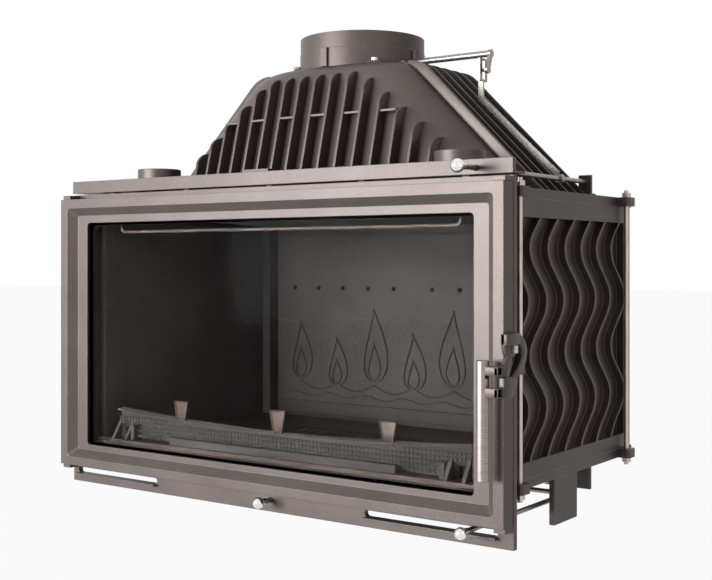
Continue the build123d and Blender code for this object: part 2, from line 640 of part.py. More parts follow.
with BuildPart() as log_horns:
    for x in (-195, 0, 195):
        with BuildSketch(upright(GUARD_Y)):
            with Locations((x, 111.0)):
                Polygon((-8, 0), (8, 0), (14.5, 33), (-14.5, 33), align=None)
        extrude(amount=6)
save(log_horns, "log_horns")

with BuildPart() as front_strip:
    box_between((-205, deep(44), BASE_TOP), (218, deep(53), BASE_TOP + 11))
save(front_strip, "front_strip")

THROTTLE_Y = deep(290)

# Ash box under the base, and the pan that lifts out of it
with BuildPart() as ash_box:
    with Locations((0, GRATE_Y, 12)):
        Box(GRATE_W, GRATE_L, BASE_Z - 12, align=(Align.CENTER, Align.CENTER, Align.MIN))
    with Locations((0, GRATE_Y, 15)):
        Box(GRATE_W - 6, GRATE_L - 6, 80, align=(Align.CENTER, Align.CENTER, Align.MIN), mode=Mode.SUBTRACT)
    box_between((KNOB_X - 30, deep(170), 20), (KNOB_X + 30, deep(190), 42), Mode.SUBTRACT)
    box_between((150, THROTTLE_Y - 20, 18), (170, THROTTLE_Y + 20, 38), Mode.SUBTRACT)
save(ash_box, "ash_box")

with BuildPart() as ash_pan:
    with Locations((0, GRATE_Y, 15)):
        Box(GRATE_W - 30, GRATE_L - 30, 44, align=(Align.CENTER, Align.CENTER, Align.MIN))
    with Locations((0, GRATE_Y, 16.5)):
        Box(GRATE_W - 33, GRATE_L - 33, 60, align=(Align.CENTER, Align.CENTER, Align.MIN), mode=Mode.SUBTRACT)
save(ash_pan, "ash_pan")

# Legs: folded plates under the base, two at the sides and two at the back
for side, name in ((-1, "left"), (1, "right")):
    with BuildPart() as side_leg:
        with BuildSketch(sideways(side * 376 - 4)):
            with Locations((deep(232), BASE_Z / 2)):
                Rectangle(72, BASE_Z)
        extrude(amount=8)
        box_between((min(side * 350, side * 374), deep(200), BASE_Z - 6),
                    (max(side * 350, side * 374), deep(264), BASE_Z))
    save(side_leg, f"side_leg_{name}")
    with BuildPart() as rear_leg:
        with BuildSketch(upright(BACK)):
            with Locations((side * 301, BASE_Z / 2)):
                Rectangle(24, BASE_Z)
        extrude(amount=6)
        box_between((side * 301 - 12, BACK - 34, BASE_Z - 6), (side * 301 + 12, BACK - 5, BASE_Z))
    save(rear_leg, f"rear_leg_{name}")

with BuildPart() as leg_bolts:
    with BuildSketch(level(BASE_Z - 6 - 5)):
        with Locations(*[(side * 361, deep(y)) for side in (-1, 1) for y in (216, 248)]):
            RegularPolygon(6.5, 6)
        with Locations(*[(side * 301, BACK - 22) for side in (-1, 1)]):
            RegularPolygon(6.5, 6)
    extrude(amount=5)
save(leg_bolts, "leg_bolts")

# Primary air: a rod through the apron that moves a shutter plate behind it
with BuildPart() as primary_air_rod:
    with Locations(Plane(origin=(KNOB_X, deep(8), KNOB_Z), x_dir=(1, 0, 0), z_dir=(0, 1, 0))):
        Cylinder(ROD_R, 168.5, align=(Align.CENTER, Align.CENTER, Align.MIN))
save(primary_air_rod, "primary_air_rod")

with BuildPart() as primary_air_knob:
    ball_knob(KNOB_X, deep(0), KNOB_Z, 8.0)
    with Locations(Plane(origin=(KNOB_X, deep(8), KNOB_Z), x_dir=(1, 0, 0), z_dir=(0, 1, 0))):
        Cylinder(ROD_R, 60, align=(Align.CENTER, Align.CENTER, Align.MIN), mode=Mode.SUBTRACT)
save(primary_air_knob, "primary_air_knob")

with BuildPart() as primary_shutter:
    box_between((KNOB_X - 45, deep(176.5), 12.5), (KNOB_X + 45, deep(179.5), 50))
save(primary_shutter, "primary_shutter")

# Outside air: a rod that runs back under the base and turns left to its throttle plate
with BuildPart() as throttle_rod:
    with BuildLine():
        FilletPolyline(
            (THROTTLE_X, deep(-4), THROTTLE_Z), (THROTTLE_X, THROTTLE_Y, THROTTLE_Z),
            (GRATE_W / 2 + 3.6, THROTTLE_Y, THROTTLE_Z), radius=14,
        )
    with BuildSketch(Plane(origin=(THROTTLE_X, deep(-4), THROTTLE_Z), x_dir=(1, 0, 0), z_dir=(0, 1, 0))):
        Circle(ROD_R)
    sweep()
save(throttle_rod, "throttle_rod")

with BuildPart() as throttle_knob:
    ball_knob(THROTTLE_X, deep(-13), THROTTLE_Z, 8.0)
    with Locations(Plane(origin=(THROTTLE_X, deep(-4), THROTTLE_Z), x_dir=(1, 0, 0), z_dir=(0, 1, 0))):
        Cylinder(ROD_R, 60, align=(Align.CENTER, Align.CENTER, Align.MIN), mode=Mode.SUBTRACT)
save(throttle_knob, "throttle_knob")

with BuildPart() as throttle_plate:
    box_between(
        (GRATE_W / 2 + 0.6, THROTTLE_Y - 28, THROTTLE_Z - 11),
        (GRATE_W / 2 + 3.6, THROTTLE_Y + 28, THROTTLE_Z + 17),
    )
save(throttle_plate, "throttle_plate")
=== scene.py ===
"""Cast-iron fireplace insert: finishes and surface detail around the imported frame."""

import math

import bmesh
import bpy
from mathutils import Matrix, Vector


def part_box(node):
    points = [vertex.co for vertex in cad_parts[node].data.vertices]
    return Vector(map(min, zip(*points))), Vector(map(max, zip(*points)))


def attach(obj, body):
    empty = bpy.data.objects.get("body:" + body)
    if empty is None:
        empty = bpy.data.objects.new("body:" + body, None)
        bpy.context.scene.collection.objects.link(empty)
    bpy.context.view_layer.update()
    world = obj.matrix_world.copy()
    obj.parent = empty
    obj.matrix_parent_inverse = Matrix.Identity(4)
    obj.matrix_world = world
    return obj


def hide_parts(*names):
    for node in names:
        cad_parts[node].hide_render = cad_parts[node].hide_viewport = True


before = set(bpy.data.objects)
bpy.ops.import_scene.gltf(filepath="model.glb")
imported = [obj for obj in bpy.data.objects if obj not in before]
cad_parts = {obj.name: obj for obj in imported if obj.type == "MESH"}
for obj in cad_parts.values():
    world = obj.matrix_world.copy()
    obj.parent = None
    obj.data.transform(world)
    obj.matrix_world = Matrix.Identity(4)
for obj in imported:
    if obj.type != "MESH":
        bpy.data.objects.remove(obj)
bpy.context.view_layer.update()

MM = 0.001
FRONT_Y = -218 * MM

# Studio: a pale floor, one wide soft lamp in front of the door and a weaker one above the right side.
# The camera stands to the right of the door, at two thirds of the insert's height.
scene = bpy.context.scene
scene.view_settings.view_transform = "Standard"

eye = bpy.data.cameras.new("camera")
eye.sensor_width = 36
eye.lens = 59.08
eye.shift_y = -0.042
camera = bpy.data.objects.new("camera", eye)
camera.location = (1.0938, -1.4863, 0.365)
camera.rotation_euler = (math.radians(90), 0, math.radians(35.63))
scene.collection.objects.link(camera)
scene.camera = camera


def soft_lamp(name, place, aim, width, height, watts, colour=(1, 1, 1)):
    """Rectangular soft lamp that looks from place to aim."""
    lamp = bpy.data.lights.new(name, "AREA")
    lamp.shape = "RECTANGLE"
    lamp.size = width
    lamp.size_y = height
    lamp.energy = watts
    lamp.color = colour
    stand = bpy.data.objects.new(name, lamp)
    stand.location = place
    stand.rotation_euler = (Vector(aim) - Vector(place)).to_track_quat("-Z", "Y").to_euler()
    scene.collection.objects.link(stand)


soft_lamp("front_lamp", (-1.15, -3.05, 0.55), (0, -0.1, 0.3), 2.3, 0.9, 178, (0.97, 0.99, 1.0))
soft_lamp("side_lamp", (2.6, -0.9, 0.8), (0.4, 0, 0.3), 1.2, 1.6, 3.6, (1.0, 0.62, 0.48))
soft_lamp("top_lamp", (0.1, -0.3, 2.8), (0, 0, 0.5), 2.0, 2.0, 3, (1.0, 0.85, 0.8))


def white_for_camera(tree):
    """1 for rays from the camera, in mirrors and through glass, 0 for the rest."""
    path = tree.nodes.new("ShaderNodeLightPath")
    seen = tree.nodes.new("ShaderNodeMath")
    seen.operation = "MAXIMUM"
    seen_all = tree.nodes.new("ShaderNodeMath")
    seen_all.operation = "MAXIMUM"
    tree.links.new(path.outputs["Is Camera Ray"], seen.inputs[0])
    tree.links.new(path.outputs["Is Glossy Ray"], seen.inputs[1])
    tree.links.new(seen.outputs[0], seen_all.inputs[0])
    tree.links.new(path.outputs["Is Transmission Ray"], seen_all.inputs[1])
    return seen_all.outputs[0]


world = bpy.data.worlds.new("studio")
world.use_nodes = True
tree = world.node_tree
ambient = tree.nodes["Background"]
ambient.inputs["Color"].default_value = (1.0, 0.76, 0.68, 1)
ambient.inputs["Strength"].default_value = 0.05
backdrop = tree.nodes.new("ShaderNodeBackground")
backdrop.inputs["Color"].default_value = (1, 1, 1, 1)
backdrop.inputs["Strength"].default_value = 1.0
choice = tree.nodes.new("ShaderNodeMixShader")
tree.links.new(white_for_camera(tree), choice.inputs[0])
tree.links.new(ambient.outputs[0], choice.inputs[1])
tree.links.new(backdrop.outputs[0], choice.inputs[2])
tree.links.new(choice.outputs[0], tree.nodes["World Output"].inputs["Surface"])
scene.world = world

floor_mesh = bpy.data.meshes.new("floor")
ground = bmesh.new()
bmesh.ops.create_grid(ground, x_segments=1, y_segments=1, size=12)
ground.to_mesh(floor_mesh)
ground.free()
floor = bpy.data.objects.new("floor", floor_mesh)
scene.collection.objects.link(floor)
pale = bpy.data.materials.new("pale_floor")
pale.use_nodes = True
tree = pale.node_tree
lit = tree.nodes["Principled BSDF"]
lit.inputs["Base Color"].default_value = (0.42, 0.39, 0.37, 1)
lit.inputs["Roughness"].default_value = 0.9
glow = tree.nodes.new("ShaderNodeEmission")
glow.inputs["Strength"].default_value = 1.0
share = tree.nodes.new("ShaderNodeMath")
share.operation = "MULTIPLY"
share.inputs[1].default_value = 0.95
mix = tree.nodes.new("ShaderNodeMixShader")
tree.links.new(white_for_camera(tree), share.inputs[0])
tree.links.new(share.outputs[0], mix.inputs[0])
tree.links.new(lit.outputs[0], mix.inputs[1])
tree.links.new(glow.outputs[0], mix.inputs[2])
tree.links.new(mix.outputs[0], tree.nodes["Material Output"].inputs["Surface"])
floor_mesh.materials.append(pale)

# Grey-brown castings: sand-cast iron, shot-blasted and sprayed with heat-proof paint.
# The paint keeps the sand grain, and a highlight is painted a little brighter along the edges.


def grain(tree, scale, detail=3.0, rough=0.6):
    """Noise in the piece's own coordinates, which are metres."""
    place = tree.nodes.new("ShaderNodeTexCoord")
    noise = tree.nodes.new("ShaderNodeTexNoise")
    noise.inputs["Scale"].default_value = scale
    noise.inputs["Detail"].default_value = detail
    noise.inputs["Roughness"].default_value = rough
    tree.links.new(place.outputs["Object"], noise.inputs["Vector"])
    return noise.outputs["Fac"]


def two_tones(tree, factor, dark, light, low=0.3, high=0.7):
    """Colour between dark and light by a factor."""
    ramp = tree.nodes.new("ShaderNodeValToRGB")
    ramp.color_ramp.elements[0].position = low
    ramp.color_ramp.elements[0].color = (*dark, 1)
    ramp.color_ramp.elements[1].position = high
    ramp.color_ramp.elements[1].color = (*light, 1)
    tree.links.new(factor, ramp.inputs["Fac"])
    return ramp.outputs["Color"]


def cast_finish(name, dark, light, rough, metal, grain_size, depth, edge, edge_highlight_colour):
    """Cast iron: mottled colour, a sand grain in the bump, rounded edges and a painted highlight along them.
    """
    made = bpy.data.materials.new(name)
    made.use_nodes = True
    tree = made.node_tree
    skin = tree.nodes["Principled BSDF"]
    skin.inputs["Metallic"].default_value = metal
    skin.inputs["Specular IOR Level"].default_value = 0.1
    speckle = grain(tree, 1 / grain_size, 2.0, 0.7)
    cloud = grain(tree, 9.0, 4.0)
    blend = tree.nodes.new("ShaderNodeMath")
    blend.operation = "MULTIPLY_ADD"
    blend.inputs[1].default_value = 0.35
    tree.links.new(cloud, blend.inputs[0])
    fine = tree.nodes.new("ShaderNodeMath")
    fine.operation = "MULTIPLY"
    fine.inputs[1].default_value = 0.65
    tree.links.new(speckle, fine.inputs[0])
    tree.links.new(fine.outputs[0], blend.inputs[2])
    colour = two_tones(tree, blend.outputs[0], dark, light)
    rounded = tree.nodes.new("ShaderNodeBevel")
    rounded.samples = 4
    rounded.inputs["Radius"].default_value = 1.3 * MM
    face = tree.nodes.new("ShaderNodeNewGeometry")
    turn = tree.nodes.new("ShaderNodeVectorMath")
    turn.operation = "DOT_PRODUCT"
    tree.links.new(rounded.outputs[0], turn.inputs[0])
    tree.links.new(face.outputs["True Normal"], turn.inputs[1])
    # Painted highlight: the base colour is lightened towards the highlight colour where the rounded normal
    # turns away from the face.
    edge_highlight_mask = tree.nodes.new("ShaderNodeMapRange")
    edge_highlight_mask.inputs["From Min"].default_value = 0.98
    edge_highlight_mask.inputs["From Max"].default_value = 0.75
    edge_highlight_mask.inputs["To Max"].default_value = edge
    tree.links.new(turn.outputs["Value"], edge_highlight_mask.inputs["Value"])
    edge_highlighted = tree.nodes.new("ShaderNodeMix")
    edge_highlighted.data_type = "RGBA"
    tree.links.new(edge_highlight_mask.outputs[0], edge_highlighted.inputs["Factor"])
    tree.links.new(colour, edge_highlighted.inputs["A"])
    edge_highlighted.inputs["B"].default_value = (*edge_highlight_colour, 1)
    tree.links.new(edge_highlighted.outputs["Result"], skin.inputs["Base Color"])
    roughness = tree.nodes.new("ShaderNodeMapRange")
    roughness.inputs["To Min"].default_value = rough - 0.06
    roughness.inputs["To Max"].default_value = rough + 0.08
    tree.links.new(speckle, roughness.inputs["Value"])
    tree.links.new(roughness.outputs[0], skin.inputs["Roughness"])
    bump = tree.nodes.new("ShaderNodeBump")
    bump.inputs["Strength"].default_value = 0.5
    bump.inputs["Distance"].default_value = depth
    tree.links.new(speckle, bump.inputs["Height"])
    tree.links.new(rounded.outputs[0], bump.inputs["Normal"])
    tree.links.new(bump.outputs[0], skin.inputs["Normal"])
    return made


# The last two values set the painted edge highlight: its strength and its colour.
cast_paint = cast_finish(
    "cast_paint", (0.082, 0.067, 0.062), (0.150, 0.126, 0.118), 0.40, 0.40,
    1.5 * MM, 0.22 * MM, 0.75, (0.34, 0.31, 0.30),
)


def dress(material, slot, *nodes):
    """Give CAD nodes their finish; the slot argument is not used."""
    for node in nodes:
        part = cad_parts[node]
        part.data.materials.clear()
        part.data.materials.append(material)


dress(
    cast_paint, "cast", "base_casting", "top_casting", "left_side_panel", "right_side_panel", "back_panel",
    "front_frame", "top_ledge", "smoke_hood", "flue_collar", "left_air_spigot", "right_air_spigot",
    "door_frame", "latch_lever", "latch_catch", "side_leg_left", "side_leg_right", "rear_leg_left",
    "rear_leg_right", "rod_bracket",
)

# Castings inside the firebox: the same iron under a darker matt coat, dulled by heat.
# The last two values set the painted edge highlight: its strength and its colour.
sooty_iron = cast_finish(
    "sooty_iron", (0.062, 0.060, 0.061), (0.135, 0.130, 0.133), 0.55, 0.0,
    2.2 * MM, 0.35 * MM, 0.5, (0.13, 0.125, 0.125),
)
dress(
    sooty_iron, "sooty_iron", "fireback", "left_liner", "right_liner", "baffle_plate", "grate",
    "log_guard", "log_horns", "front_strip",
)


def steel_finish(name, dark, light, rough, metal, stretch, depth=0.02 * MM):
    """Bar or sheet steel: streaks along the piece's length, given by the stretch of the pattern."""
    made = bpy.data.materials.new(name)
    made.use_nodes = True
    tree = made.node_tree
    skin = tree.nodes["Principled BSDF"]
    skin.inputs["Metallic"].default_value = metal
    place = tree.nodes.new("ShaderNodeTexCoord")
    run = tree.nodes.new("ShaderNodeMapping")
    run.inputs["Scale"].default_value = stretch
    noise = tree.nodes.new("ShaderNodeTexNoise")
    noise.inputs["Scale"].default_value = 1.0
    noise.inputs["Detail"].default_value = 4.0
    tree.links.new(place.outputs["Object"], run.inputs["Vector"])
    tree.links.new(run.outputs[0], noise.inputs["Vector"])
    tree.links.new(two_tones(tree, noise.outputs["Fac"], dark, light), skin.inputs["Base Color"])
    roughness = tree.nodes.new("ShaderNodeMapRange")
    roughness.inputs["To Min"].default_value = rough - 0.05
    roughness.inputs["To Max"].default_value = rough + 0.07
    tree.links.new(noise.outputs["Fac"], roughness.inputs["Value"])
    tree.links.new(roughness.outputs[0], skin.inputs["Roughness"])
    bump = tree.nodes.new("ShaderNodeBump")
    bump.inputs["Strength"].default_value = 0.4
    bump.inputs["Distance"].default_value = depth
    tree.links.new(noise.outputs["Fac"], bump.inputs["Height"])
    tree.links.new(bump.outputs[0], skin.inputs["Normal"])
    return made


# Sheet steel parts, sprayed black: the air-wash plates, glass strips, ash box and pan, shutters.
black_sheet = steel_finish(
    "black_sheet", (0.035, 0.032, 0.032), (0.07, 0.065, 0.065), 0.6, 0.0, (350, 350, 350), 0.08 * MM
)
dress(
    black_sheet, "sheet_steel", "airwash_lip", "airwash_bar", "ash_box", "ash_pan", "damper_plate",
    "primary_shutter", "throttle_plate", "retainer_top", "retainer_left", "retainer_right",
    "retainer_low_long", "retainer_low_short",
)

# Bright zinc-plated rods, nuts and bolts.
zinc = steel_finish("zinc", (0.44, 0.38, 0.34), (0.60, 0.54, 0.48), 0.34, 0.9, (260, 260, 40))
dress(zinc, "zinc", "tie_rods", "tie_rod_nuts", "latch_bolt", "collar_bolts", "leg_bolts", "damper_screws")

# Bare drawn bar of the damper and air rods, a little darkened by handling and heat.
drawn_bar = steel_finish("drawn_bar", (0.22, 0.20, 0.185), (0.36, 0.335, 0.315), 0.38, 0.85, (300, 60, 300))
dress(
    drawn_bar, "bare_steel", "damper_shaft", "damper_link_bar", "damper_pull_rod", "primary_air_rod",
    "throttle_rod", "hinge_pins",
)

# Satin grip of the latch: ground steel tube with fine rings across it.
satin = steel_finish("satin", (0.22, 0.19, 0.18), (0.36, 0.32, 0.30), 0.36, 0.85, (60, 60, 900), 0.03 * MM)
dress(satin, "satin_steel", "handle_grip")

# Polished ball knobs.
mirror = steel_finish("mirror", (0.70, 0.69, 0.66), (0.82, 0.81, 0.79), 0.14, 1.0, (40, 40, 40), 0.0)
dress(mirror, "polished", "damper_rod_knob", "primary_air_knob", "throttle_knob")

# Braided glass-fibre rope behind the door and the flat tape under the glass.
# The last two values set the painted edge highlight: its strength and its colour.
rope = cast_finish(
    "rope", (0.03, 0.03, 0.03), (0.075, 0.073, 0.07), 0.9, 0.0, 3.0 * MM, 0.8 * MM, 0.1, (0.09, 0.09, 0.09)
)
dress(rope, "rope", "glass_gasket", "door_rope_gasket")

# Door glass: clear glass-ceramic with its faint amber tint.
clear = bpy.data.materials.new("ceramic_glass")
clear.use_nodes = True
tree = clear.node_tree
pane = tree.nodes["Principled BSDF"]
pane.inputs["Base Color"].default_value = (0.80, 0.77, 0.74, 1)
pane.inputs["Roughness"].default_value = 0.03
pane.inputs["Transmission Weight"].default_value = 1.0
pane.inputs["IOR"].default_value = 1.03
ripple = tree.nodes.new("ShaderNodeBump")
ripple.inputs["Strength"].default_value = 0.03
ripple.inputs["Distance"].default_value = 0.2 * MM
tree.links.new(grain(tree, 14.0, 1.0), ripple.inputs["Height"])
tree.links.new(ripple.outputs[0], pane.inputs["Normal"])
dress(clear, "ceramic_glass", "door_glass")

# Smoke hood: one casting bolted over the throat, with a smooth bowed front that narrows to the collar.
# Sixteen upright cooling ribs stand on its front, six small shelves tie pairs of them together, and
# plain fins run down both sloping sides behind the broad rim of the front gable.


def piece_from(shape, name, material, body="root"):
    """Finished object from a bmesh: it sits at the origin, rides its body and has its finish."""
    bmesh.ops.remove_doubles(shape, verts=shape.verts, dist=0.01 * MM)
    bmesh.ops.recalc_face_normals(shape, faces=shape.faces)
    mesh = bpy.data.meshes.new(name)
    shape.to_mesh(mesh)
    shape.free()
    mesh.materials.append(material)
    made = bpy.data.objects.new(name, mesh)
    scene.collection.objects.link(made)
    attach(made, body)
    return made


def push_out(shape, faces, way):
    """Extrude faces along a vector and give back the new vertices."""
    grown = bmesh.ops.extrude_face_region(shape, geom=faces)["geom"]
    moved = [part for part in grown if isinstance(part, bmesh.types.BMVert)]
    bmesh.ops.translate(shape, verts=moved, vec=way)
    return moved


def plate_of(shape, corners, way):
    """Solid plate from a closed outline of points, thickened along a vector."""
    ring = [shape.verts.new(corner) for corner in corners]
    face = shape.faces.new(ring)
    moved = push_out(shape, [face], way)
    return ring + moved


def soften(shape, width, segments=2, limit=35):
    """Round every edge that is sharper than limit degrees."""
    sharp = [e for e in shape.edges if e.is_manifold and e.calc_face_angle(0) > math.radians(limit)]
    bmesh.ops.bevel(
        shape, geom=sharp, offset=width, offset_type="OFFSET", segments=segments, profile=0.5,
        affect="EDGES", material=-1,
    )


def smooth_shade(made, angle=35):
    """Shade a piece smooth, with its hard corners kept."""
    made.data.shade_smooth()
    made.data.set_sharp_from_angle(angle=math.radians(angle))


def place(x, depth, height):
    """Point in metres from X, depth behind the door's face and height, all in millimetres."""
    return Vector((x * MM, FRONT_Y + depth * MM, height * MM))


hood_low, hood_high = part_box("smoke_hood")
HOOD_FOOT, HOOD_CROWN = hood_low.z / MM, hood_high.z / MM
HOOD_REAR = (hood_high.y - FRONT_Y) / MM
GABLE_SUM = 822.4         # half width plus height along the gable's sloping edge
RIM_WIDTH = 21.0          # rim of the gable outside the smooth front, measured across
GABLE_DEPTH = 202.0
CORNER = 52.0             # radius of the gable's upper corners
BOW = 4.9e-4              # how fast the front falls back from its middle, per millimetre squared
SIDE_TURN, BROW = 58.0, 24.0
CORNER_STEPS = 8


def half_width(height, total):
    """Half the gable's width at a height, with its upper corners rounded."""
    knee = HOOD_CROWN - CORNER * (1 - math.cos(math.radians(45)))
    if height <= knee:
        return total - height
    centre = total - HOOD_CROWN - CORNER * math.tan(math.radians(22.5))
    return centre + math.sqrt(max(0.0, CORNER ** 2 - (height - HOOD_CROWN + CORNER) ** 2))


def front_depth(x, height):
    """Depth of the hood's smooth front."""
    rise = height - HOOD_FOOT
    bow = 105.0 + BOW * x * x + 0.2465 * rise
    side = (half_width(height, GABLE_SUM - RIM_WIDTH) - abs(x)) * 0.707 / SIDE_TURN
    brow = (HOOD_CROWN - height) / BROW
    turn = 1 - math.sqrt(1 - (1 - min(1.0, max(0.0, side))) ** 2)
    over = 1 - math.sqrt(1 - (1 - min(1.0, brow)) ** 2)
    return min(GABLE_DEPTH, bow + (GABLE_DEPTH - bow) * turn + BROW * over)


shell = bmesh.new()
bmesh.ops.create_grid(shell, x_segments=120, y_segments=60, size=1)
for corner in shell.verts:
    across = math.sin(corner.co.x * math.pi / 2)
    up = math.sin((corner.co.y + 1) * math.pi / 4)
    height = HOOD_FOOT + (HOOD_CROWN - HOOD_FOOT) * up
    x = across * half_width(height, GABLE_SUM - RIM_WIDTH)
    corner.co = place(x, front_depth(x, height), height)
above_foot = (HOOD_FOOT + 0.1) * MM
border = [e for e in shell.edges if e.is_boundary and max(v.co.z for v in e.verts) > above_foot]
back_rim = bmesh.ops.extrude_edge_only(shell, edges=border)["geom"]
COLLAR_DEPTH, COLLAR_BORE = 276.0, 95.0
for corner in [part for part in back_rim if isinstance(part, bmesh.types.BMVert)]:
    x = abs(corner.co.x) / MM
    reach = GABLE_DEPTH + 3
    if corner.co.z > (HOOD_CROWN - 0.5) * MM and x < COLLAR_BORE:
        edge_of_bore = COLLAR_DEPTH - math.sqrt(COLLAR_BORE ** 2 - x * x)
        reach = min(reach, max((corner.co.y - FRONT_Y) / MM + 1, edge_of_bore))
    corner.co.y = FRONT_Y + reach * MM
bmesh.ops.recalc_face_normals(shell, faces=shell.faces)
outside = max(shell.faces, key=lambda f: -f.calc_center_median().y)
if outside.normal.y > 0:
    bmesh.ops.reverse_faces(shell, faces=shell.faces)
bmesh.ops.solidify(shell, geom=shell.faces, thickness=4.5 * MM)
smooth_shade(piece_from(shell, "hood_front", cast_paint))

sides = bmesh.new()
SHELL_SUM = 783.0


def slope_plates(total, wall, depth, thick, end=None):
    """Pair of plates along the hood's sloping sides, with rounded upper corners and an open middle."""
    centre = total - HOOD_CROWN - CORNER * math.tan(math.radians(22.5))
    for side in (-1, 1):
        rails = []
        for inset in (0.0, wall):
            line = [(total - HOOD_FOOT - inset * math.sqrt(2), HOOD_FOOT)]
            for step in range(CORNER_STEPS + 1):
                bend = math.radians(45 + 45 * step / CORNER_STEPS)
                line.append((
                    centre + (CORNER - inset) * math.cos(bend),
                    HOOD_CROWN - CORNER + (CORNER - inset) * math.sin(bend),
                ))
            if end is not None:
                line.append((end, HOOD_CROWN - inset))
            rails.append([sides.verts.new(place(side * x, depth, height)) for x, height in line])
        outer, inner = rails
        faces = []
        for step in range(len(outer) - 1):
            faces.append(sides.faces.new((outer[step], outer[step + 1], inner[step + 1], inner[step])))
        push_out(sides, faces, Vector((0, thick * MM, 0)))


FIN_REACH, SIDE_FINS, FIN_PITCH, FIN_T = 30.0, 5, 29.4, 5.0
slope_plates(GABLE_SUM, FIN_REACH, GABLE_DEPTH, 6.0)
for fin in range(1, SIDE_FINS + 1):
    slope_plates(GABLE_SUM - 1.5, FIN_REACH, GABLE_DEPTH + FIN_PITCH * fin - 5, FIN_T)
soften(sides, 0.9 * MM)
slope_plates(SHELL_SUM, 6.0, GABLE_DEPTH + 2, HOOD_REAR - GABLE_DEPTH - 2, 96.0)

# Roof of the hood, a plate with a round opening under the collar, and the plate that closes the rear.
ROOF_STEPS = 72
rails = []
for step in range(ROOF_STEPS + 1):
    bend = math.radians(5 * step)
    way = Vector((math.sin(bend), math.cos(bend)))
    far = min(
        136.0 / max(1e-6, abs(way.x)),
        (HOOD_REAR - COLLAR_DEPTH if way.y > 0 else COLLAR_DEPTH - GABLE_DEPTH) / max(1e-6, abs(way.y)),
    )
    near = min(COLLAR_BORE, far - 0.5)
    rails.append([
        sides.verts.new(place(way.x * reach, COLLAR_DEPTH + way.y * reach, HOOD_CROWN))
        for reach in (near, far)
    ])
roof = []
for step in range(ROOF_STEPS):
    this, other = rails[step], rails[step + 1]
    if max((far.co - near.co).length for near, far in (this, other)) > MM:
        roof.append(sides.faces.new((this[0], this[1], other[1], other[0])))
push_out(sides, roof, Vector((0, 0, -5 * MM)))
loose = [corner for corner in sides.verts if not corner.link_faces]
bmesh.ops.delete(sides, geom=loose, context="VERTS")
WALL = 5.6
rear = [(SHELL_SUM - HOOD_FOOT - WALL * math.sqrt(2), HOOD_FOOT)]
for step in range(CORNER_STEPS + 1):
    bend = math.radians(45 + 45 * step / CORNER_STEPS)
    rear.append((
        SHELL_SUM - HOOD_CROWN - CORNER * math.tan(math.radians(22.5)) + (CORNER - WALL) * math.cos(bend),
        HOOD_CROWN - CORNER + (CORNER - WALL) * math.sin(bend),
    ))
right = [place(x, HOOD_REAR - 7, height) for x, height in rear]
plate_of(sides, [Vector((-p.x, p.y, p.z)) for p in right] + right[::-1], Vector((0, 6 * MM, 0)))
smooth_shade(piece_from(sides, "hood_sides", cast_paint))

# Ribs on the hood's front, each with a curled top, and the shelves and tab between them.
ribs = bmesh.new()
RIB_PITCH, RIBS, RIB_T = 29.6, 16, 4.6
RIB_STAND = 20.5          # how far a rib stands out from the smooth front
RIB_CURL = 24.0           # height of the curl that takes a rib's top back into the front


def rib_front(x, height):
    """Depth of a rib's front edge."""
    return front_depth(0, HOOD_FOOT + 1) - RIB_STAND + BOW * x * x + 0.257 * (height - HOOD_FOOT)


for rib in range(RIBS):
    x = (rib - (RIBS - 1) / 2) * RIB_PITCH
    crest = min(648.0, 612.0 - 0.8 * (abs(x) - 133.0))
    shoulder = crest - RIB_CURL
    side = [place(x - RIB_T / 2, rib_front(x, HOOD_FOOT), HOOD_FOOT)]
    root = front_depth(x, crest) + 1.5
    for step in range(9):
        bend = math.radians(90 * step / 8)
        height = shoulder + RIB_CURL * math.sin(bend)
        out = rib_front(x, shoulder)
        side.append(place(x - RIB_T / 2, out + (root - out) * (1 - math.cos(bend)), height))
    side.append(place(x - RIB_T / 2, root + 14, crest))
    side.append(place(x - RIB_T / 2, front_depth(x, HOOD_FOOT) + 12, HOOD_FOOT))
    plate_of(ribs, side, Vector((RIB_T * MM, 0, 0)))
soften(ribs, 0.8 * MM)
SHELF_HEIGHT, SHELF_RUN = 583.5, 24
for gap in (-5, -3, -1, 1, 3, 5):
    x = gap * RIB_PITCH
    front = rib_front(x, SHELF_HEIGHT) + 1.0
    low_x, high_x = x - RIB_PITCH / 2, x + RIB_PITCH / 2
    corners = [
        place(low_x, front, SHELF_HEIGHT), place(high_x, front, SHELF_HEIGHT),
        place(high_x, front + SHELF_RUN, SHELF_HEIGHT), place(low_x, front + SHELF_RUN, SHELF_HEIGHT),
    ]
    plate_of(ribs, corners, Vector((0, 0, -3 * MM)))
tab = [place(-86, 83, 503), place(-38, 83, 503), place(-38, 112, 503), place(-86, 112, 503)]
plate_of(ribs, tab, Vector((0, 0, -4 * MM)))
hood_ribs = piece_from(ribs, "hood_ribs", cast_paint)
smooth_shade(hood_ribs)
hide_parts("smoke_hood")

# Fireback ornament: candle flames cast in low relief, an outer drop with a smaller one inside it.
# Arcs join their feet above a wavy line of embers, and a plain border closes the plate at the bottom.


def ribbon(shape, path, width, way, closed=False):
    """Flat strip along a path in an upright plane, thickened along a vector."""
    rails = []
    for step, spot in enumerate(path):
        before = path[step - 1] if closed or step else spot
        after = path[(step + 1) % len(path)] if closed or step < len(path) - 1 else spot
        run = (after - before).normalized()
        across = Vector((-run.z, 0, run.x)) * (width * MM / 2)
        rails.append((shape.verts.new(spot - across), shape.verts.new(spot + across)))
    faces = []
    for step in range(len(path) if closed else len(path) - 1):
        this, other = rails[step], rails[(step + 1) % len(path)]
        faces.append(shape.faces.new((this[0], this[1], other[1], other[0])))
    push_out(shape, faces, way)


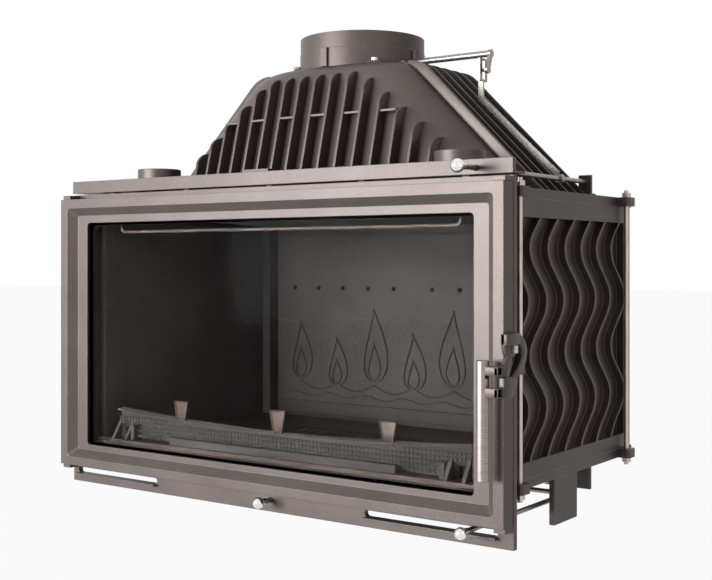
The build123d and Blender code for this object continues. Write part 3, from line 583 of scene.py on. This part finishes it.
FLAME_DEPTH = 426.3
FLAME_STAND = Vector((0, -2.6 * MM, 0))
DROP_STEPS, ARC_STEPS = 48, 16
flames = bmesh.new()
for place_x, foot, tall, wide in (
    (-246, 148, 104, 44), (-164, 140, 84, 40), (-82, 150, 128, 50), (0, 140, 96, 44),
    (82, 150, 128, 50), (164, 140, 84, 40), (246, 148, 104, 44),
):
    for scale in (1.0, 0.5):
        drop = []
        for step in range(DROP_STEPS):
            turn = 2 * math.pi * step / DROP_STEPS
            bulge = wide * scale * 0.72 * math.sin(turn) * math.sin(turn / 2) ** 1.6
            sway = 5.0 * scale * math.sin(math.pi * (1 + math.cos(turn)) / 2) * (1 if place_x <= 0 else -1)
            lift = tall * scale * (1 + math.cos(turn)) / 2
            drop.append(place(place_x + bulge + sway, FLAME_DEPTH, foot + 8 * (1 - scale) + lift))
        ribbon(flames, drop, 3.2 * scale + 0.6, FLAME_STAND, closed=True)
for start, end in ((-246, -164), (-164, -82), (-82, 0), (0, 82), (82, 164), (164, 246)):
    arc = []
    for step in range(ARC_STEPS + 1):
        along = step / ARC_STEPS
        height = 144 - 14 * math.sin(math.pi * along)
        arc.append(place(start + (end - start) * along, FLAME_DEPTH, height))
    ribbon(flames, arc, 2.6, FLAME_STAND)
embers = [place(-280 + 4 * step, FLAME_DEPTH, 120 + 3.5 * math.sin(step / 3.2)) for step in range(141)]
ribbon(flames, embers, 2.8, FLAME_STAND)
ribbon(flames, [place(-286, FLAME_DEPTH, 106), place(286, FLAME_DEPTH, 106)], 3.0, FLAME_STAND)
soften(flames, 0.5 * MM, 1)
flame_relief = piece_from(flames, "fireback_flames", sooty_iron)
smooth_shade(flame_relief)

# Log guard face: a waffle of small raised squares under a thin plain rim that follows the hollow top.
# The rim and the squares are part of the guard's casting and stand just proud of its front.
GUARD_FACE = 56.7
GUARD_ARC = (333.0 ** 2 + 12.5 ** 2) / 25.0
waffle = bmesh.new()


def guard_top(x):
    """Height of the log guard's hollow top edge."""
    return 112.0 + GUARD_ARC - math.sqrt(GUARD_ARC ** 2 - x * x)


SQUARE, PITCH = 4.9, 6.8
for column in range(-48, 49):
    x = column * PITCH
    row_height = 80.5
    while row_height + SQUARE < guard_top(x) - 5.0:
        if abs(x) < 302 or row_height > 96:
            corners = [
                place(x - SQUARE / 2, GUARD_FACE, row_height), place(x + SQUARE / 2, GUARD_FACE, row_height),
                place(x + SQUARE / 2, GUARD_FACE, row_height + SQUARE),
                place(x - SQUARE / 2, GUARD_FACE, row_height + SQUARE),
            ]
            plate_of(waffle, corners, Vector((0, -1.5 * MM, 0)))
        row_height += PITCH
soften(waffle, 0.5 * MM, 1)
rim_x = [-331 + 662 * step / 60 for step in range(61)]
rim = [place(x, GUARD_FACE, guard_top(x) - 2.2) for x in rim_x]
ribbon(waffle, rim, 3.2, Vector((0, -2.2 * MM, 0)))
for x in (-327, -299, 299, 327):
    foot_side = [
        place(x - 3, GUARD_FACE, 77), place(x - 3, GUARD_FACE - 17, 77),
        place(x - 3, GUARD_FACE - 13, 84), place(x - 3, GUARD_FACE, 104),
    ]
    plate_of(waffle, foot_side, Vector((6 * MM, 0, 0)))
smooth_shade(piece_from(waffle, "guard_face", sooty_iron))

# Horns of the log guard: three flared sockets with a raised rim round a sunk, faceted middle.
HORN_BACK = 64.5
horns = bmesh.new()
for x in (-195, 0, 195):
    outline = [
        place(x - 8, HORN_BACK, 110), place(x + 8, HORN_BACK, 110),
        place(x + 14.5, HORN_BACK, 144), place(x - 14.5, HORN_BACK, 144),
    ]
    corners = plate_of(horns, outline, Vector((0, -6 * MM, 0)))
    front = [f for f in horns.faces if all(v in corners[4:] for v in f.verts)]
    bmesh.ops.inset_region(horns, faces=front, thickness=3 * MM, depth=0)
    bmesh.ops.translate(horns, verts=front[0].verts[:], vec=(0, 3.2 * MM, 0))
    ridge = bmesh.ops.poke(horns, faces=front, offset=0)["verts"]
    bmesh.ops.translate(horns, verts=ridge, vec=(0, -3.0 * MM, -2 * MM))
soften(horns, 0.6 * MM, 1)
horn_piece = piece_from(horns, "guard_horns", cast_paint)
smooth_shade(horn_piece, 25)
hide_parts("log_horns")

# Air-wash bar: one bent strip that hangs behind the top of the glass, with rounded lower corners.
bar = bmesh.new()
bar_path = [place(-317.5, 53, 430)]
for step in range(7):
    bend = math.radians(90 * step / 6)
    bar_path.append(place(-309.5 - 8 * math.cos(bend), 53, 418.5 - 8 * math.sin(bend)))
bar_path += [Vector((-p.x, p.y, p.z)) for p in reversed(bar_path)]
ribbon(bar, bar_path, 5, Vector((0, -5 * MM, 0)))
soften(bar, 1.2 * MM, 2)
bar_piece = piece_from(bar, "airwash_strip", cast_paint)
smooth_shade(bar_piece)
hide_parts("airwash_bar")

# Latch lever: a casting on the door's right edge, turned by the upright grip.
# A thick crescent sweeps back from its cap to the lower body, and two arms hold the grip.
lever = bmesh.new()
LEVER_X = 408.0


def lever_plate(points, low=0.0, thick=6.0):
    """Plate of the lever from an outline of depths and heights."""
    corners = [place(LEVER_X + low, depth, height) for depth, height in points]
    plate_of(lever, corners, Vector((thick * MM, 0, 0)))


lever_plate([(-9.5, 275), (26.7, 275), (30, 268), (24, 258), (16, 246), (4, 244), (-6, 250), (-9.5, 260)])
lever_plate([(-9.5, 261), (-9.5, 275), (26.7, 275), (27, 261)], 0.0, 9.0)
lever_plate([
    (22, 274), (34, 271), (44, 263), (49, 252), (46, 240), (38, 229), (27, 221), (14, 216), (10, 224),
    (22, 231), (31, 240), (35, 250), (31, 258), (22, 263),
], 0.0, 7.0)
lever_plate([(-14, 196), (8, 196), (17, 205), (24, 217), (14, 222), (-14, 222)], 0.0, 7.5)
lever_plate([(-27, 225), (2, 221), (12, 240), (8, 247), (-3, 246), (-9, 237), (-27, 236)])
lever_plate([(-27, 198), (-12, 197), (-12, 211), (-27, 210)])
lever_plate([(-10, 224), (-4, 224), (-4, 234), (-10, 234)], 0.0, 8.0)
for low, high in ((225, 236), (198, 210)):
    arm = [place(386, -27, low), place(386, -17, low), place(386, -17, high), place(386, -27, high)]
    plate_of(lever, arm, Vector((28 * MM, 0, 0)))
soften(lever, 1.2 * MM, 2)
lever_piece = piece_from(lever, "latch_lever_cast", cast_paint, "handle")
smooth_shade(lever_piece)
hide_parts("latch_lever")
